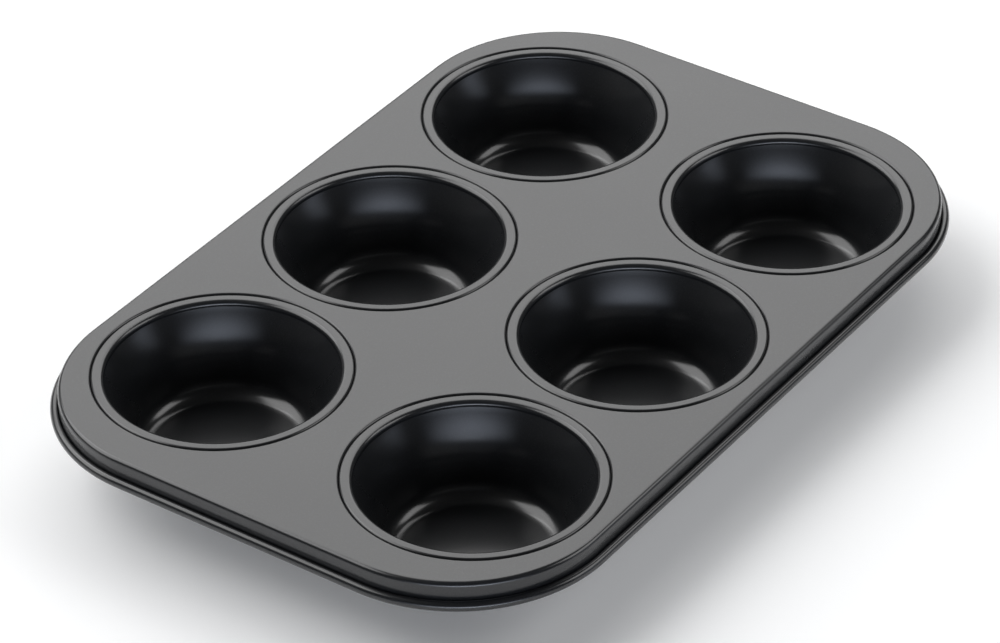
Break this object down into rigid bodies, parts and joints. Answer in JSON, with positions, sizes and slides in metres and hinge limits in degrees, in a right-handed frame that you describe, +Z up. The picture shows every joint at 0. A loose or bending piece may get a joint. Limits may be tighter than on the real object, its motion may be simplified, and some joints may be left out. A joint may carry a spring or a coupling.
{
  "type": "muffin pan",
  "caption": "Rectangular muffin pan of dark coated steel: round tapered cups seamed into a flat deck with a short skirt and a rolled rim.",
  "frame": {"origin": "middle of the pan's footprint, in the plane of the cup floors it stands on", "axes": "+X along the long side, +Y along the short side, +Z up out of the cups"},
  "size_m": [0.2736, 0.1846, 0.0289],
  "materials": {
    "nonstick_coating": "dark grey satin non-stick coating with a fine metallic grain",
    "wire_steel": "plain drawn steel wire"
  },
  "bodies": {
    "root": {"deck_sheet": "nonstick_coating", "cup_front_left": "nonstick_coating", "cup_front_middle": "nonstick_coating", "cup_front_right": "nonstick_coating", "cup_back_left": "nonstick_coating", "cup_back_middle": "nonstick_coating", "cup_back_right": "nonstick_coating", "rim_wire": "wire_steel"}
  },
  "joints": []
}
